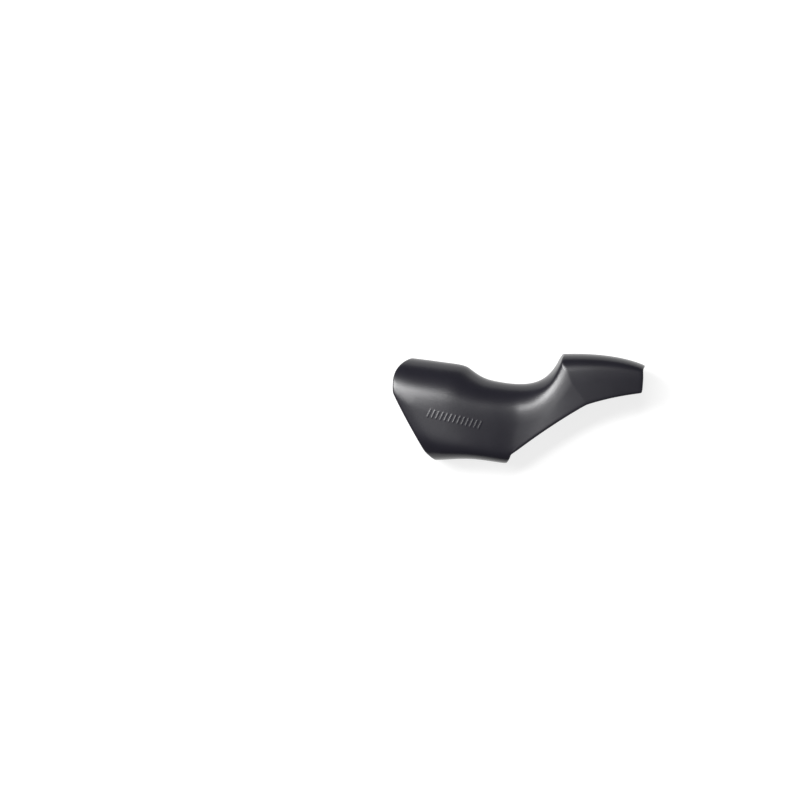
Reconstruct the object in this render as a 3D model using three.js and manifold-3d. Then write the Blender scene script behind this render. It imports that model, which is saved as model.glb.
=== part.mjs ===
// Rubber hood of a road bicycle's brake lever: the soft sleeve that is pulled over the lever's bracket.
// It is one moulding. Its bar end wraps round the handlebar, its top dips into a saddle for the hand and
// climbs a horn, and the nose in front of the horn is a channel that is open below, where the lever hangs.
//
// Sizes are in millimetres. The sleeve is drawn upright, as it sits on the bicycle: +X points forwards,
// +Z up, and -Y is the outer side. At the end it is laid down on its inner side, as it rests on a table.
import * as THREE from "three";
import { LoftGeometry } from "three/addons/geometries/LoftGeometry.js";
import { mergeGeometries, mergeVertices } from "three/addons/utils/BufferGeometryUtils.js";
import Module from "manifold-3d";

// Places along the sleeve, from its rearmost point.
const length = 131.4;
const crownStart = 10.7; // the rim's top, cut back round the handlebar
const padEnd = 39.2; // the rest for the heel of the hand ends here
const saddleAt = 67;
const waistAt = 64;
const hornAt = 88.9;
const hornSideAt = 91.8; // the horn's ridge runs down the side, forwards
const heelAt = 16.9; // the rim's foot, where the side turns under
const soleStart = 22.8;
const soleEnd = 58.3;
const cornerAt = 60.6; // foot of the front edge
const underHornAt = 99.5;
const underTipBack = 2.5; // the tip's lower edge and side stand back from its top
const tipSideBack = 2;

// Heights above the lowest point.
const padStartHeight = 54.9;
const padEndHeight = 50.6;
const saddleHeight = 41.4;
const hornHeight = 57;
const tipHeight = 51.3;
const lobeHeight = 37; // where each section is widest: at the bar end
const gripHeight = 26.5; // behind the pad's end
const waistHeight = 22.5; // under the saddle
const hornSideHeight = 42;
const noseSideHeight = 45.5; // halfway along the nose
const tipSideHeight = 44.5;
const soleHeight = 1.7;
const soleEndHeight = 0.1;
const turnHeight = 5; // from the sole up to the line where the side ends
const underHornHeight = 31.2;
const underTipHeight = 37.2;

// Full widths.
const barWidth = 30.2;
const gripWidth = 34;
const waistWidth = 28.6;
const hornWidth = 34.3;
const tipWidth = 30;

// How the sections round. A squareness of 2 is an ellipse, and more is boxier.
const gripSquareness = 2.3;
const hornSquareness = 3.4;
const heelSquareness = 3.6; // of the lower section at the bar end
const cornerSquareness = 5; // and at the front corner
const flatShare = 0.42; // of the lower section's depth, before it turns under
const ridgeSweep = 2.9; // the horn's ridge is swept back by this at its corners

// The rubber.
const wall = 2.3;
const lipWall = 1.7; // the wall thins towards both rims
const lipTaper = 9; // over this distance

// Round tabs inside, which click into dimples of the bracket: two in each side.
const tabRadius = 2.6;
const tabTipRadius = 1.9;
const tabHeight = 1.6;
const tabSides = 24;
const tabPlaces = [
  { row: 11, column: 3 },
  { row: 27, column: 5 },
];

// Rows of points along the sleeve in its three spans, and columns across it.
const gripRows = 20;
const neckRows = 12;
const noseRows = 13;
const roofColumns = 8;
const flankColumns = 7;
const soleColumns = 6;
const lipSteps = 4;
const rightAngle = Math.PI / 2;

const { lerp, clamp, smoothstep } = THREE.MathUtils;
const point = (x, halfWidth, z) => new THREE.Vector3(x, halfWidth, z);
const smooth = (...points) => new THREE.CatmullRomCurve3(points);
const bezier = (start, corner, end) => new THREE.QuadraticBezierCurve3(start, corner, end);
const between = (a, b, shareX, shareZ) => point(lerp(a.x, b.x, shareX), 0, lerp(a.z, b.z, shareZ));

// Four rails guide the skin: the crown on top, the shoulder where the side is widest, the edge where the
// side ends, and the middle of the sole. Each has a curve for the grip, the neck and the nose, which meet
// under the saddle and at the horn's ridge. Y is the half width.
const tipAt = length - lipWall / 2;
const padStart = point(crownStart, 0, padStartHeight);
const padStop = point(padEnd, 0, padEndHeight);
const saddle = point(saddleAt, 0, saddleHeight);
const horn = point(hornAt, 0, hornHeight);
const tip = point(tipAt, 0, tipHeight);
const crown = {
  grip: smooth(
    padStart,
    between(padStart, padStop, 0.5, 0.42),
    padStop,
    between(padStop, saddle, 0.1, 0.24),
    between(padStop, saddle, 0.2, 0.46),
    between(padStop, saddle, 0.36, 0.71),
    between(padStop, saddle, 0.62, 0.89),
    between(padStop, saddle, 0.86, 0.985),
    saddle,
  ),
  neck: new THREE.CubicBezierCurve3(
    saddle,
    between(saddle, horn, 0.58, 0),
    between(saddle, horn, 0.77, 0.43),
    horn,
  ),
  nose: bezier(horn, between(horn, tip, 0.62, -0.14), tip),
};

const lobe = point(lipWall / 2, barWidth / 2, lobeHeight);
const waist = point(waistAt, waistWidth / 2, waistHeight);
const hornSide = point(hornSideAt, hornWidth / 2, hornSideHeight);
const tipSide = point(tipAt - tipSideBack, tipWidth / 2, tipSideHeight);
const widening = (share) => lerp(barWidth, gripWidth, share) / 2;
const narrowing = (share) => lerp(gripWidth, waistWidth, share) / 2;
const shoulder = {
  grip: smooth(
    lobe,
    point(lerp(0, padEnd, 0.25), widening(0.75), lerp(lobeHeight, gripHeight, 0.55)),
    point(lerp(0, padEnd, 0.7), gripWidth / 2, gripHeight),
    point(lerp(padEnd, waistAt, 0.35), narrowing(0.5), lerp(gripHeight, waistHeight, 0.7)),
    point(lerp(padEnd, waistAt, 0.8), narrowing(0.88), lerp(gripHeight, waistHeight, 0.96)),
    waist,
  ),
  neck: bezier(
    waist,
    point(lerp(waistAt, hornSideAt, 0.58), waistWidth / 2, waistHeight - 0.6),
    hornSide,
  ),
  nose: bezier(
    hornSide,
    point(lerp(hornSideAt, tipAt, 0.5), lerp(hornWidth, tipWidth, 0.4) / 2, noseSideHeight),
    tipSide,
  ),
};

// The edge's half width follows from the section there.
const heel = point(heelAt, 0, soleHeight + turnHeight);
const corner = point(cornerAt, 0, soleEndHeight + turnHeight);
const underHorn = point(underHornAt, 0, underHornHeight);
const underTip = point(tipAt - underTipBack, 0, underTipHeight);
const edge = {
  grip: bezier(heel, point(lerp(heelAt, cornerAt, 0.5), 0, heel.z + 0.6), corner),
  neck: bezier(corner, between(corner, underHorn, 0.49, 0.57), underHorn),
  nose: bezier(underHorn, between(underHorn, underTip, 0.48, 0.73), underTip),
};

const sole = smooth(
  point(soleStart, 0, soleHeight),
  point(lerp(soleStart, soleEnd, 0.5), 0, soleHeight + 0.6),
  point(soleEnd, 0, soleEndHeight),
);

// Points of one rail from end to end; a span's last point is the next one's first.
function along(rail) {
  return [
    ...rail.grip.getSpacedPoints(gripRows),
    ...rail.neck.getSpacedPoints(neckRows).slice(1),
    ...rail.nose.getSpacedPoints(noseRows).slice(1),
  ];
}
const crownLine = along(crown);
const shoulderLine = along(shoulder);
const edgeLine = along(edge);
const soleLine = sole.getSpacedPoints(gripRows);
const lastRow = crownLine.length - 1;

// How far each row has come along the neck, and how near it is to the horn's ridge, from 0 to 1.
const alongNeck = (row) => clamp((row - gripRows) / neckRows, 0, 1);
const nearRidge = (row) => Math.min(alongNeck(row), (lastRow - row) / noseRows);

// A point of the section between the crown and the shoulder; turn goes from 0 to a right angle.
function roofPoint(row, turn) {
  const top = crownLine[row];
  const side = shoulderLine[row];
  const roundness = 2 / lerp(gripSquareness, hornSquareness, alongNeck(row));
  // Near the ridge the section stays at the crown's place along the sleeve for longer.
  const late = lerp(1.7, 6, nearRidge(row));
  const soft = lerp(1.5, 1, nearRidge(row));
  const reach = 1 - (1 - Math.sin(turn) ** late) ** soft;
  const sweep = ridgeSweep * nearRidge(row) * 3.5 * Math.sin(turn) ** 4 * Math.cos(turn);
  return point(
    lerp(top.x, side.x, reach) - sweep,
    side.y * Math.sin(turn) ** roundness,
    lerp(side.z, top.z, Math.cos(turn) ** roundness),
  );
}

// How far the lower section has turned under at a share of its full depth, and its half width there.
const turnedUnder = (depth) => Math.max(depth - flatShare, 0) / (1 - flatShare);
const lowerSquareness = (row) => lerp(heelSquareness, cornerSquareness, Math.min(row / gripRows, 1));
function lowerHalfWidth(row, depth) {
  const squareness = lowerSquareness(row);
  return shoulderLine[row].y * (1 - turnedUnder(depth) ** squareness) ** (1 / squareness);
}

// How deep the edge lies in the lower section, whose open part is cut off the same form as at the corner.
const openDepth = waistHeight - soleEndHeight;
function edgeDepth(row) {
  const side = shoulderLine[row];
  const fullDepth = row < gripRows ? side.z - soleLine[row].z : openDepth;
  return (side.z - edgeLine[row].z) / fullDepth;
}

function flankPoint(row, share) {
  const side = shoulderLine[row];
  const low = edgeLine[row];
  return point(
    lerp(side.x, low.x, share ** 1.08),
    lowerHalfWidth(row, share * edgeDepth(row)),
    lerp(side.z, low.z, share),
  );
}

// A point of the sole's section, from the edge at share 0 to the middle at 1.
function solePoint(row, share) {
  const side = shoulderLine[row];
  const middle = soleLine[row];
  const roundness = 2 / lowerSquareness(row);
  const turn = lerp(Math.asin(turnedUnder(edgeDepth(row)) ** (1 / roundness)), rightAngle, share);
  const depth = lerp(flatShare, 1, Math.sin(turn) ** roundness);
  const x = lerp(middle.x, edgeLine[row].x, (1 - share) ** 1.6);
  return point(x, side.y * Math.cos(turn) ** roundness, lerp(side.z, middle.z, depth));
}

const shares = (count) => Array.from({ length: count }, (_, i) => (i + 1) / count);
const mirrored = (p) => point(p.x, -p.y, p.z);

// The skin as rows of open sections, each from the inner side's edge over the crown to the outer side's.
const skin = crownLine.map((top, row) => {
  const half = [
    top,
    ...shares(roofColumns).map((share) => roofPoint(row, share * rightAngle)),
    ...shares(flankColumns).map((share) => flankPoint(row, share)),
  ];
  return [...half.slice(1).reverse(), ...half.map(mirrored)];
});
const lastColumn = skin[0].length - 1;

// The sole closes the grip's sections below, from the outer side's edge to the inner side's.
const soleSkin = soleLine.map((middle, row) => {
  const half = [skin[row][0], ...shares(soleColumns).map((share) => solePoint(row, share))];
  half[soleColumns].y = 0;
  return [...half.map(mirrored), ...half.slice(0, -1).reverse()];
});
const lastSoleColumn = soleSkin[0].length - 1;

// The ring of points round each of the two openings.
const barRing = (upper, lower) => [...upper[0], ...lower[0].slice(1, -1)];
function frontRing(upper, lower) {
  const edgeRows = Array.from({ length: noseRows + neckRows - 1 }, (_, i) => gripRows + 1 + i);
  return [
    ...upper[lastRow],
    ...edgeRows.toReversed().map((row) => upper[row][lastColumn]),
    ...lower[gripRows],
    ...edgeRows.map((row) => upper[row][0]),
  ];
}

// The lining follows the skin at the depth of the wall.
const rims = [...barRing(skin, soleSkin), ...frontRing(skin, soleSkin)];
function wallAt(p) {
  const toRim = Math.min(...rims.map((rimPoint) => rimPoint.distanceTo(p)));
  return lerp(lipWall, wall, smoothstep(toRim, 0, lipTaper));
}

function neighboursOnSkin(row, column) {
  const section = skin[row];
  const isClosed = row <= gripRows;
  const before = section[column - 1] ?? (isClosed ? soleSkin[row][lastSoleColumn - 1] : section[0]);
  const after = section[column + 1] ?? (isClosed ? soleSkin[row][1] : section[lastColumn]);
  return [before, after];
}
function neighboursOnSole(row, column) {
  const section = soleSkin[row];
  return [section[column - 1] ?? skin[row][lastColumn - 1], section[column + 1] ?? skin[row][1]];
}

function liningOf(rows, neighbours) {
  return rows.map((section, row) =>
    section.map((p, column) => {
      const behind = rows[Math.max(row - 1, 0)][column];
      const ahead = rows[Math.min(row + 1, rows.length - 1)][column];
      const [before, after] = neighbours(row, column);
      const across = new THREE.Vector3().subVectors(after, before);
      const inwards = new THREE.Vector3().subVectors(ahead, behind).cross(across).normalize();
      return p.clone().addScaledVector(inwards, wallAt(p));
    }),
  );
}
const lining = liningOf(skin, neighboursOnSkin);
const soleLining = liningOf(soleSkin, neighboursOnSole);
soleLining.forEach((section, row) => {
  section[0] = lining[row][lastColumn];
  section[lastSoleColumn] = lining[row][0];
});

// Rings that round a rim off, from its ring on the skin to its ring on the lining.
function lipRings(outer, inner, forwards) {
  const ringAt = (angle) =>
    outer.map((p, i) => {
      const middle = new THREE.Vector3().lerpVectors(p, inner[i], 0.5);
      const halfWall = new THREE.Vector3().subVectors(p, middle);
      const next = outer[(i + 1) % outer.length];
      const previous = outer.at(i - 1);
      const proud = new THREE.Vector3().subVectors(next, previous).cross(halfWall);
      proud.setLength(halfWall.length() * forwards);
      return middle.addScaledVector(halfWall, Math.cos(angle)).addScaledVector(proud, Math.sin(angle));
    });
  const rings = shares(lipSteps).slice(0, -1).map((share) => ringAt(share * Math.PI));
  return [outer, ...rings, inner];
}

function surface(rows, closed = false) {
  const loft = new LoftGeometry(rows, { closed });
  loft.deleteAttribute("normal");
  loft.deleteAttribute("uv");
  return loft;
}
const turnedOver = (rows) => rows.map((section) => section.toReversed());

const sleeve = mergeGeometries([
  surface(skin),
  surface(soleSkin),
  surface(turnedOver(lining)),
  surface(turnedOver(soleLining)),
  surface(lipRings(barRing(skin, soleSkin), barRing(lining, soleLining), 1).reverse(), true),
  surface(lipRings(frontRing(skin, soleSkin), frontRing(lining, soleLining), -1), true),
]);

// A tab stands on the lining, rooted halfway into the wall.
function tab(row, column) {
  const foot = lining[row][column];
  const inwards = new THREE.Vector3().subVectors(foot, skin[row][column]);
  const root = inwards.length() / 2;
  const stud = new THREE.CylinderGeometry(tabTipRadius, tabRadius, tabHeight + root, tabSides);
  stud.deleteAttribute("normal");
  stud.deleteAttribute("uv");
  stud.translate(0, (tabHeight - root) / 2, 0);
  const studAxis = new THREE.Vector3(0, 1, 0);
  stud.applyQuaternion(new THREE.Quaternion().setFromUnitVectors(studAxis, inwards.normalize()));
  return stud.translate(foot.x, foot.y, foot.z);
}

const wasm = await Module();
wasm.setup();
function solid(geometry) {
  const merged = mergeVertices(geometry);
  const vertProperties = merged.getAttribute("position").array;
  const triVerts = new Uint32Array(merged.index.array);
  return new wasm.Manifold(new wasm.Mesh({ numProp: 3, vertProperties, triVerts }));
}
let rubberBody = solid(sleeve);
for (const { row, column } of tabPlaces) {
  rubberBody = rubberBody.add(solid(tab(row, column))).add(solid(tab(row, lastColumn - column)));
}
const joined = rubberBody.getMesh();
const moulding = new THREE.BufferGeometry();
moulding.setAttribute("position", new THREE.BufferAttribute(joined.vertProperties, 3));
moulding.setIndex(new THREE.BufferAttribute(joined.triVerts, 1));

const rubber = new THREE.MeshStandardMaterial({ color: 0x2b2b2e, roughness: 0.55, metalness: 0 });
const hood = new THREE.Mesh(moulding, rubber);
hood.name = "hood";

// Laid on its inner side, with the middle of its outline over the origin.
const object = new THREE.Group();
object.rotation.x = -rightAngle;
object.add(hood);
const box = new THREE.Box3().setFromObject(object);
const middle = box.getCenter(new THREE.Vector3());
object.position.set(-middle.x, -middle.y, -box.min.z);
export default object;
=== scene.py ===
# A road brake lever's rubber hood, lying on its inner side on a white sweep, seen straight from above.
import math

import bmesh
import bpy
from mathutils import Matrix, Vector


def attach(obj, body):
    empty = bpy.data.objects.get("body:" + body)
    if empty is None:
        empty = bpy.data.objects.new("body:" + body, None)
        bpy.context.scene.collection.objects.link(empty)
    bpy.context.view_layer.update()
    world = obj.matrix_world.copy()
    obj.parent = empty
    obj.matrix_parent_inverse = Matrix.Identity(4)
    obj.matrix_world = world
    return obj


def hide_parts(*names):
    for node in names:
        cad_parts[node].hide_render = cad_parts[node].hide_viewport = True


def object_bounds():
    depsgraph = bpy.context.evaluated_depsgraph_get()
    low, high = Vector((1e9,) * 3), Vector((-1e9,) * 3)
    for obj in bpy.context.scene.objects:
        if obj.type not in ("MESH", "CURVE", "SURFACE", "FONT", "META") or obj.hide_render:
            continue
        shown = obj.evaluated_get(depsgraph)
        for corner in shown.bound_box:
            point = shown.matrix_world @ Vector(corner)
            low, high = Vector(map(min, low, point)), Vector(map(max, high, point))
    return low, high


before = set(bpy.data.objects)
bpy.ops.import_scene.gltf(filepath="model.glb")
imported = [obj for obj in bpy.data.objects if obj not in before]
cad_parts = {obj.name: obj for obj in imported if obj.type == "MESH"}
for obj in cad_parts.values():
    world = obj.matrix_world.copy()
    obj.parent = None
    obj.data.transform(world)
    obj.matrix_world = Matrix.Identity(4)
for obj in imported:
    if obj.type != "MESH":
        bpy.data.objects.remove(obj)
solidLow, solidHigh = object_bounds()
millimetre = 0.001


def toLinear(hexColour):  # "#rrggbb" as a picture shows it, to the linear colour that a shader takes
    channels = [int(hexColour[i:i + 2], 16) / 255 for i in (1, 3, 5)]
    linear = [c / 12.92 if c <= 0.04045 else ((c + 0.055) / 1.055) ** 2.4 for c in channels]
    return (*linear, 1)


def addNode(tree, kind, settings=(), inputs=(), links=()):
    # settings are the node's own properties, inputs its sockets' values, links (input, node, output)
    node = tree.nodes.new(kind)
    for name, value in dict(settings).items():
        setattr(node, name, value)
    for name, value in dict(inputs).items():
        node.inputs[name].default_value = value
    for name, source, output in links:
        tree.links.new(source.outputs[output], node.inputs[name])
    return node


def newMaterial(name):
    material = bpy.data.materials.new(name)
    material.use_nodes = True
    material.node_tree.nodes.clear()
    return material, material.node_tree


# Camera: the picture's own framing, from straight above through a long lens.
picture = {
    "side": 800,  # pixels
    "pixel": 0.52 * millimetre,  # what one pixel covers at the hood's middle plane
    "hoodMiddle": (518.4, 408.4),  # where the middle of the hood lies in the picture
    "lens": 120,
    "sensor": 36,
}


def makeCamera(view):
    data = bpy.data.cameras.new("camera")
    data.lens = view["lens"]
    data.sensor_width = view["sensor"]
    camera = bpy.data.objects.new("camera", data)
    bpy.context.scene.collection.objects.link(camera)
    across = (view["side"] / 2 - view["hoodMiddle"][0]) * view["pixel"]
    along = (view["hoodMiddle"][1] - view["side"] / 2) * view["pixel"]
    distance = view["side"] * view["pixel"] * view["lens"] / view["sensor"]
    camera.location = (across, along, (solidLow.z + solidHigh.z) / 2 + distance)
    bpy.context.scene.camera = camera


makeCamera(picture)
print("camera placed")


# The rubber: black moulded elastomer from a spark-eroded mould, so it is satin with a fine even grain.
rubberFinish = {
    "dark": "#14131a",
    "light": "#18171f",
    "roughness": (0.29, 0.33),  # lowest and highest over the cloudy patches
    "grain": 0.42 * millimetre,  # the real grain is about 0.15 mm; drawn coarser so that it shows
    "grainDepth": 0.016 * millimetre,
    "cloud": 9 * millimetre,  # patches where the surface dried a little duller
}


def mouldedRubber(finish):
    material, tree = newMaterial("mouldedRubber")
    place = addNode(tree, "ShaderNodeTexCoord")
    cloud = addNode(
        tree, "ShaderNodeTexNoise", {}, {"Scale": 1 / finish["cloud"], "Detail": 3, "Roughness": 0.55},
        [("Vector", place, "Object")],
    )
    colour = addNode(tree, "ShaderNodeMix", {"data_type": "RGBA"}, links=[("Factor", cloud, "Fac")])
    colour.inputs["A"].default_value = toLinear(finish["dark"])
    colour.inputs["B"].default_value = toLinear(finish["light"])
    dull = addNode(
        tree, "ShaderNodeMapRange", {}, {"To Min": finish["roughness"][0], "To Max": finish["roughness"][1]},
        [("Value", cloud, "Fac")],
    )
    grain = addNode(
        tree, "ShaderNodeTexNoise", {}, {"Scale": 1 / finish["grain"], "Detail": 2, "Roughness": 0.6},
        [("Vector", place, "Object")],
    )
    bump = addNode(
        tree, "ShaderNodeBump", {}, {"Strength": 1, "Distance": finish["grainDepth"]},
        [("Height", grain, "Fac")],
    )
    shader = addNode(
        tree, "ShaderNodeBsdfPrincipled", {}, {"IOR": 1.5, "Specular IOR Level": 0.5},
        [("Base Color", colour, "Result"), ("Roughness", dull, "Result"), ("Normal", bump, "Normal")],
    )
    addNode(tree, "ShaderNodeOutputMaterial", links=[("Surface", shader, "BSDF")])
    return material


# The skin: the solid's own mesh, smoothed fine, with its folds kept.
skin = {
    "mergeWithin": 0.002 * millimetre,
    "flatWithin": 40,  # degrees; two triangles that fold less than this become one four-sided face
    "foldAngle": 24,  # edges folded more than this, in degrees, keep a soft crease
    "foldHold": 0.4,
    "ridge": [(23.4, 28.5), (21.7, 24.1), (24.2, 19.2), (26.4, 13.5), (34, 2.7)],  # mm, down the horn's side
    "ridgeReach": 0.8 * millimetre,  # edges this near the ridge line belong to it
    "ridgeHold": 0.85,
    "levels": 2,
}


def isOnRidge(shape, place):  # whether a point lies on the ridge line, seen along Z
    line = [Vector(corner) * millimetre for corner in shape["ridge"]]
    for start, end in zip(line, line[1:]):
        share = (place.xy - start).dot(end - start) / (end - start).length_squared
        if (start.lerp(end, min(max(share, 0), 1)) - place.xy).length < shape["ridgeReach"]:
            return True
    return False


def smoothSkin(shape):
    bm = bmesh.new()
    bm.from_mesh(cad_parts["hood"].data)
    bmesh.ops.remove_doubles(bm, verts=bm.verts, dist=shape["mergeWithin"])
    fold = math.radians(shape["flatWithin"])
    bmesh.ops.join_triangles(bm, faces=bm.faces, angle_face_threshold=fold, angle_shape_threshold=fold)
    crease = bm.edges.layers.float.new("crease_edge")
    for edge in bm.edges:
        if edge.calc_face_angle() > math.radians(shape["foldAngle"]):
            edge[crease] = shape["foldHold"]
        if all(isOnRidge(shape, v.co) for v in edge.verts):
            edge[crease] = shape["ridgeHold"]
    print("cage faces", len(bm.faces), "quads", sum(len(f.verts) == 4 for f in bm.faces))
    mesh = bpy.data.meshes.new("hoodSkin")
    bm.to_mesh(mesh)
    bm.free()
    piece = bpy.data.objects.new("hoodSkin", mesh)
    bpy.context.scene.collection.objects.link(piece)
    subdivide = piece.modifiers.new("fine", "SUBSURF")
    subdivide.levels = subdivide.render_levels = shape["levels"]
    fine = bpy.data.meshes.new_from_object(piece.evaluated_get(bpy.context.evaluated_depsgraph_get()))
    piece.modifiers.clear()
    piece.data = fine
    bpy.data.meshes.remove(mesh)
    return piece


# Grip ribs: a row of low bars on the outer side.
ribs = {
    "first": Vector((-46.6, -2.4)) * millimetre,  # middle of the first and of the last rib
    "last": Vector((-20.4, -8.5)) * millimetre,
    "count": 13,
    "length": 4.6 * millimetre,
    "width": 0.95 * millimetre,
    "height": 0.07 * millimetre,
    "flatTop": 0.45,  # share of the half width that is flat
    "foot": 1.35,  # and how far out the soft foot ends
    "lean": 12,  # degrees from square to the row
    "margin": 1.2 * millimetre,  # of finer mesh round the row
    "cuts": 3,
    "lowest": 28 * millimetre,  # the outer side lies above this, and the lining below it
    "facing": 0.5,  # share of a surface's normal that points up, from which it counts as the outer side
}


def ribHeight(row, place):  # how far a point of the outer side stands proud, seen along Z
    along = (row["last"] - row["first"]).normalized()
    square = Vector((-along.y, along.x))
    lean = math.radians(row["lean"])
    ribAxis = square * math.cos(lean) + along * math.sin(lean)
    ribSide = Vector((ribAxis.y, -ribAxis.x))
    highest = 0
    for i in range(row["count"]):
        middle = row["first"].lerp(row["last"], i / (row["count"] - 1))
        offset = place.xy - middle
        lengthwise = max(abs(offset.dot(ribAxis)) - (row["length"] - row["width"]) / 2, 0)
        distance = math.hypot(lengthwise, offset.dot(ribSide)) / (row["width"] / 2)
        fall = (distance - row["flatTop"]) / (row["foot"] - row["flatTop"])
        rise = 1 - min(max(fall, 0), 1)
        highest = max(highest, rise * rise * (3 - 2 * rise))
    return highest * row["height"]


def raiseRibs(piece, row):
    along = (row["last"] - row["first"]).normalized()
    square = Vector((-along.y, along.x))
    middle = (row["first"] + row["last"]) / 2
    halfLength = (row["last"] - row["first"]).length / 2 + row["width"] + row["margin"]
    halfHeight = row["length"] / 2 + row["margin"]

    def isInField(place, normal):
        offset = place.xy - middle
        isNear = abs(offset.dot(along)) < halfLength and abs(offset.dot(square)) < halfHeight
        return isNear and place.z > row["lowest"] and normal.z > row["facing"]

    bm = bmesh.new()
    bm.from_mesh(piece.data)
    faces = [f for f in bm.faces if isInField(f.calc_center_median(), f.normal)]
    edges = list(dict.fromkeys(e for f in faces for e in f.edges))
    bmesh.ops.subdivide_edges(bm, edges=edges, cuts=row["cuts"], use_grid_fill=True, smooth=0)
    bm.normal_update()
    moves = [(v, v.normal * ribHeight(row, v.co)) for v in bm.verts if isInField(v.co, v.normal)]
    for v, move in moves:
        v.co += move
    bm.to_mesh(piece.data)
    bm.free()


hoodSkin = smoothSkin(skin)
raiseRibs(hoodSkin, ribs)
hoodSkin.data.materials.clear()
hoodSkin.data.materials.append(mouldedRubber(rubberFinish))
hoodSkin.data.shade_smooth()
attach(hoodSkin, "root")
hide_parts("hood")
print("hood skin", len(hoodSkin.data.polygons), "faces")


# Floor: a white sweep that stays white to the camera and keeps the shadow.
floorLook = {
    "half": 3,  # metres
    "colour": "#8c8c8c",
    "glow": 0.8,
    "roughness": 0.9,
    "below": 0.05 * millimetre,  # under the hood's lowest point
}


def makeFloor(look):
    bm = bmesh.new()
    bmesh.ops.create_grid(bm, x_segments=1, y_segments=1, size=look["half"])
    mesh = bpy.data.meshes.new("floor")
    bm.to_mesh(mesh)
    bm.free()
    floor = bpy.data.objects.new("floor", mesh)
    bpy.context.scene.collection.objects.link(floor)
    floor.location.z = solidLow.z - look["below"]
    material, tree = newMaterial("paintedSweep")
    path = addNode(tree, "ShaderNodeLightPath")
    mirrored = addNode(
        tree, "ShaderNodeMath", {"operation": "MAXIMUM"},
        links=[(0, path, "Is Glossy Ray"), (1, path, "Is Transmission Ray")],
    )
    seen = addNode(
        tree, "ShaderNodeMath", {"operation": "MAXIMUM"},
        links=[(0, path, "Is Camera Ray"), (1, mirrored, "Value")],
    )
    glow = addNode(
        tree, "ShaderNodeMath", {"operation": "MULTIPLY"}, {1: look["glow"]}, [(0, seen, "Value")],
    )
    paint = addNode(
        tree, "ShaderNodeBsdfPrincipled", {},
        {"Base Color": toLinear(look["colour"]), "Roughness": look["roughness"]},
    )
    light = addNode(tree, "ShaderNodeEmission", {}, {"Color": (1, 1, 1, 1)}, [("Strength", glow, "Value")])
    both = addNode(tree, "ShaderNodeAddShader", links=[(0, paint, "BSDF"), (1, light, "Emission")])
    addNode(tree, "ShaderNodeOutputMaterial", links=[("Surface", both, "Shader")])
    floor.data.materials.append(material)


makeFloor(floorLook)

# Lamps: a soft box and a strip from the upper left for the long highlight, one overhead, and a dim room.
lamps = {  # towards is the lamp's direction from the hood; distances and sizes are in metres
    "softBox": {"towards": (-0.56, 0.27, 0.86), "distance": 0.9, "size": (0.34, 0.38), "watts": 9.8},
    "strip": {"towards": (-0.16, 0.29, 0.94), "distance": 0.9, "size": (0.42, 0.1), "watts": 4.1},
    "overhead": {"towards": (-0.18, -0.06, 1), "distance": 1.2, "size": (0.8, 0.8), "watts": 0.8},
}
roomStrength = 0.12


def makeLamp(name, values):
    data = bpy.data.lights.new(name, "AREA")
    data.shape = "RECTANGLE"
    data.size, data.size_y = values["size"]
    data.energy = values["watts"]
    lamp = bpy.data.objects.new(name, data)
    bpy.context.scene.collection.objects.link(lamp)
    towards = Vector(values["towards"]).normalized()
    lamp.location = towards * values["distance"]
    lamp.rotation_mode = "QUATERNION"
    lamp.rotation_quaternion = towards.to_track_quat("Z", "Y")


for lampName, lampValues in lamps.items():
    makeLamp(lampName, lampValues)

world = bpy.data.worlds.new("room")
bpy.context.scene.world = world
world.use_nodes = True
world.node_tree.nodes["Background"].inputs["Color"].default_value = (1, 1, 1, 1)
world.node_tree.nodes["Background"].inputs["Strength"].default_value = roomStrength
bpy.context.scene.view_settings.view_transform = "Standard"
print("floor and lamps placed")
